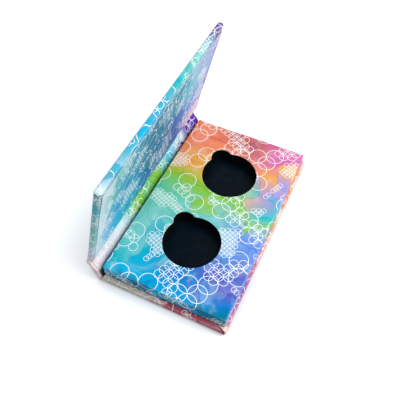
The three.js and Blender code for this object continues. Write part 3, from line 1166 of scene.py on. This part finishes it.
def magnet_material():
    """Flexible magnetic sheet: dark satin rubber with a fine rolled grain and faint rub marks."""
    g = Graph("magnet_sheet")
    where = g.place()
    grain = g.noise(g.vector("MULTIPLY", where, (0.4, 1.0, 1.0)), 0.18, 3.0)
    rubs = g.noise(where, 3.5, 5.0)
    colour = g.mix(g.range(rubs, 0.35, 0.75), tone("020a12"), tone("05141f"))
    colour = g.mix(g.range(grain, 0.45, 0.75, 0.0, 0.4), colour, tone("0a1e2c"))
    rough = g.math("MULTIPLY_ADD", rubs, 0.16, 0.26)
    return g.surface(colour, rough, g.bump(grain, 0.00001, 0.3), Specular_IOR_Level=0.07)


def steel_material():
    """Nickel-plated closure discs, with a fine brushed grain."""
    g = Graph("closure_steel")
    brushed = g.noise(g.vector("MULTIPLY", g.place(), (6.0, 0.4, 1.0)), 0.8, 3.0)
    colour = g.mix(brushed, tone("9fa3a6"), tone("c9cccd"))
    rough = g.range(brushed, 0.3, 0.7, 0.22, 0.38)
    return g.surface(colour, rough, g.bump(brushed, 0.00001), Metallic=1.0)


# Columns of colour: places across the sheet, and along it the colours between which the wash runs
FREE_EDGE_RUN = (
    "-52 peach, -45 mauve, -36 mauve, -29 plum, -20 mauve, -8 coral, 10 peach, 24 coral, 38 amber, "
    "50 blush"
)
# The teal at -53 lies on the tray's near side wall: print colour, made deeper as painted shade of that side
TRAY_COLUMNS = (
    (-24, "-53 teal, -49 cyan, -40 turquoise, -20 aqua, -6 mint, 6 lime, 15 amber, 27 coral"),
    (2, "-53 teal, -49 cyan, -38 azure, -20 turquoise, -8 aqua, 4 lime, 16 amber, 36 coral, 50 rose"),
    (26, "-53 teal, -48 azure, -40 violet, -24 periwinkle, -8 periwinkle, 2 lime, 12 turquoise, "
         "22 lilac, 31 amber, 40 magenta"),
)
INNER_COLUMNS = (
    # This column paints the groove's shade: dark where the lining runs down beside the base's fold, violet at the
    # far end
    (-5, "20 deep, 40 violet"),
    (0, "-32 blush, -22 ice, -13 lime, 10 lime, 18 sky, 28 ice, 34 purple"),
    (15, "-52 blush, -32 ice, -20 turquoise, -12 mint, 8 lime, 18 sky, 28 ice, 34 purple"),
    (26, "-52 ice, -40 sky, -26 turquoise, -8 blue, 25 blue, 38 lilac, 50 blush"),
    (42, "-52 ice, -42 haze, -30 cyan, -12 teal, 18 blue, 36 periwinkle, 50 lilac"),
    (62, "-52 ice, -42 aqua, -30 lagoon, -4 teal, 16 lagoon, 30 haze, 45 lilac"),
)
LID_COLUMNS = (
    (4, "-48 blush, -34 haze, -20 turquoise, 10 blue, 45 purple"),
    (11, "-48 haze, -20 turquoise, 10 blue, 45 purple"),
    (25, "-48 aqua, -20 cyan, 10 blue, 45 purple"),
    (62, "-48 lagoon, -20 cyan, 10 azure, 45 purple"),
    (69, "-52 ice, -45 haze, -36 lagoon, -20 cyan, 0 lagoon, 14 turquoise, 26 aqua, 36 lagoon, 44 dusk"),
)
SPINE_COLUMNS = (
    (0, "-52 blush, -35 lilac, -10 periwinkle, 20 sky, 45 purple"),
    (13, "-35 blush, -10 lilac, 20 blue, 45 purple"),
)
BASE_COLUMNS = (
    (18, "-40 stone, 0 lilac, 50 blush"),
    (34, "-40 rose, 0 coral, 50 blush"),
    (62, "-40 crimson, 0 coral, 50 blush"),
    (69, FREE_EDGE_RUN),
)

cut_paper = cut_edge_material("cut_paper", CUT_PAPER, tone("cfcac2"))
# Dark rims and backs: edges darkened by glue, and painted shade where they stand for slits and gaps
glued_edge_and_shade = cut_edge_material("glued_edge_and_shade", SEAM_AND_SHADE, tone("2a2026"))
# Dark red rims of the spine's lining: painted shadow of the gap under its lifted cut ends
red_edge_shade = cut_edge_material("red_edge_shade", tone("6a2530"), tone("3c1820"))
tray_print = print_material("tray_print", TRAY_COLUMNS, (37.0, 150.0))
# Its shade paints the groove's shade into the print beside the base's fold
inner_print = print_material("inner_print", INNER_COLUMNS, (215.0, 75.0), -0.12, shade=(4.2, 6.8))
lid_print = print_material("lid_print", LID_COLUMNS, (361.0, 290.0), -0.1)
spine_print = print_material("spine_print", SPINE_COLUMNS, (540.0, 60.0), 0.08)
base_print = print_material("base_print", BASE_COLUMNS, (654.0, 120.0))


# Pieces


def settle(piece, body, slot, *nodes):
    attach(piece, body)
    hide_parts(*nodes)


def settle_bent(piece, bodies, slot, start, end, *nodes):
    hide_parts(*nodes)
    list(bodies)
    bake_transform(piece)


base_cover = panel_cover(base, panel_start, BASE_BEND, BASE_CORNER)
lid_cover = panel_cover(lid, lid_start, LID_BEND, LID_CORNER)
settle(base_cover.build("base_cover", base_print, glued_edge_and_shade), "base", "outer_print", "base_wrap")
settle(lid_cover.build("lid_cover", lid_print, glued_edge_and_shade), "lid", "outer_print", "lid_wrap")
settle(spine_cover().build("spine_cover", spine_print, cut_paper), "spine", "outer_print", "spine_wrap")
settle(lid_lining().build("lid_lining", inner_print, cut_paper), "lid", "inner_print", "lid_liner")
settle(spine_lining().build("spine_lining", inner_print, red_edge_shade), "spine", "inner_print", "spine_liner")
settle(base_lining_edge().build("base_lining_edge", inner_print, glued_edge_and_shade), "base", "inner_print")
tray_sheet = tray_cover().build("tray_cover", tray_print, cut_paper)
cut_wells(tray_sheet)
settle(tray_sheet, "base", "tray_print", "tray_wrap")
settle(tray_end_flaps().build("tray_end_flaps", tray_print, glued_edge_and_shade), "base", "tray_print")

greyboard = board_material()
settle(panel_core(base, "base_core", panel_start, BASE_BEND, greyboard), "base", "greyboard", "base_board")
settle(panel_core(lid, "lid_core", lid_start, LID_BEND, greyboard), "lid", "greyboard", "lid_board")

to_spine, to_lid = ("base", "spine"), ("spine", "lid")
start, end = [
    base_axis + panel.along * x + panel.inward * z for panel, (x, z) in zip((base, spine), BASE_CREASE_BEND)
]
crease = base_crease().build("base_crease", inner_print, base_print)
settle_bent(crease, to_spine, "inner_print", start, end)
crease = lid_crease().build("lid_crease", inner_print, spine_print)
settle_bent(crease, to_lid, "inner_print", lid_axis, lid_axis + lid.along * LID_CREASE_BEND)
for name, panels, way, bodies, sheet in (
    ("base_fold", (base, spine), 1, to_spine, base_print),
    ("lid_fold", (spine, lid), -1, to_lid, lid_print),
):
    piece = outer_fold(panels[0], way, panels[1]).build(name + "_paper", sheet, sheet)
    start, end = [panels[1].axis - panel.inward * FOLD_RADIUS for panel in panels]
    settle_bent(piece, bodies, "outer_print", start, end, name)

# Solids that stay as they are, with their own finishes
finishes = {
    "greyboard": greyboard,
    "black_core": foam_material(),
    "magnet_sheet": magnet_material(),
    "closure_steel": steel_material(),
    "inner_print": inner_print,
}
for row in frame["record"]["subparts"]:
    node = frame["nodes"][row["node"]]
    if row["material_slot"] in finishes and not node.hide_render:
        node.data.materials.clear()
        node.data.materials.append(finishes[row["material_slot"]])


# Studio


def floor_material():
    """White floor with a contact shadow painted from ambient occlusion: plain to the camera and in reflections,
    dimmer as a source of light on the object.
    """
    g = Graph("floor")
    rays = g.node("LightPath")
    seen = g.math("MAXIMUM", rays.outputs["Is Camera Ray"], rays.outputs["Is Glossy Ray"])
    seen = g.math("MAXIMUM", seen, rays.outputs["Is Transmission Ray"])
    # Painted contact shadow: the floor darkens where ambient occlusion finds the object close by
    near = g.node("AmbientOcclusion", {"Distance": CONTACT_SHADOW_REACH}, samples=32).outputs["AO"]
    unshadowed_share = g.range(near, *CONTACT_SHADOW_SPAN, 0.0, 1.0, "LINEAR")
    white = g.node("BsdfDiffuse", {"Color": g.mix(unshadowed_share, CONTACT_SHADOW_TONE, FLOOR_TONE)})
    dim = g.node("BsdfDiffuse", {"Color": FLOOR_BOUNCE})
    lift = g.node("Emission", {"Strength": g.math("MULTIPLY", unshadowed_share, FLOOR_GLOW)})
    bright = g.node("AddShader", {0: white.outputs[0], 1: lift.outputs[0]})
    return g.finish(g.node("MixShader", {0: seen, 1: dim.outputs[0], 2: bright.outputs[0]}))


def studio_floor():
    bm = bmesh.new()
    bmesh.ops.create_grid(bm, x_segments=1, y_segments=1, size=FLOOR_HALF)
    floor = mesh_object("studio_floor", bm, floor_material())
    floor.location.z = -FLOOR_DROP
    floor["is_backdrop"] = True


def studio_world():
    """A soft white dome, brighter overhead, and white where the camera sees it."""
    g = Graph("studio", bpy.data.worlds)
    height = g.node("SeparateXYZ", {0: g.node("TexCoord").outputs["Generated"]}).outputs[2]
    rays = g.node("LightPath")
    seen = g.math("MAXIMUM", rays.outputs["Is Camera Ray"], rays.outputs["Is Transmission Ray"])
    strength = g.node("Mix", {0: seen, 2: g.range(height, *DOME_RISE, *DOME, "LINEAR"), 3: 1.0})
    back = g.node("Background", {"Color": (1, 1, 1, 1), "Strength": strength.outputs[0]})
    scene.world = g.finish(back, "OutputWorld")


def studio_lamps():
    for name, place, target, size, power in LAMPS:
        lamp = bpy.data.lights.new(name, "AREA")
        lamp.energy, lamp.size = power, size
        holder = bpy.data.objects.new(name, lamp)
        holder.location = place
        holder.rotation_euler = (Vector(target) - Vector(place)).to_track_quat("-Z", "Y").to_euler()
        scene.collection.objects.link(holder)


def studio_camera():
    data = bpy.data.cameras.new("camera")
    data.lens, data.sensor_width = CAMERA_LENS, CAMERA_SENSOR
    data.clip_start, data.clip_end = CAMERA_CLIP
    camera = bpy.data.objects.new("camera", data)
    aim = (CAMERA_AIM - CAMERA_EYE).to_track_quat("-Z", "Y").to_matrix().to_4x4()
    camera.matrix_world = Matrix.Translation(CAMERA_EYE) @ aim @ Matrix.Rotation(CAMERA_ROLL, 4, "Z")
    scene.collection.objects.link(camera)
    scene.camera = camera


studio_floor()
studio_world()
studio_lamps()
studio_camera()
scene.view_settings.view_transform = "Standard"

boxes = {"cad": cad_box, "visual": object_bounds()}
{name: [list(corner) for corner in corners] for name, corners in boxes.items()}
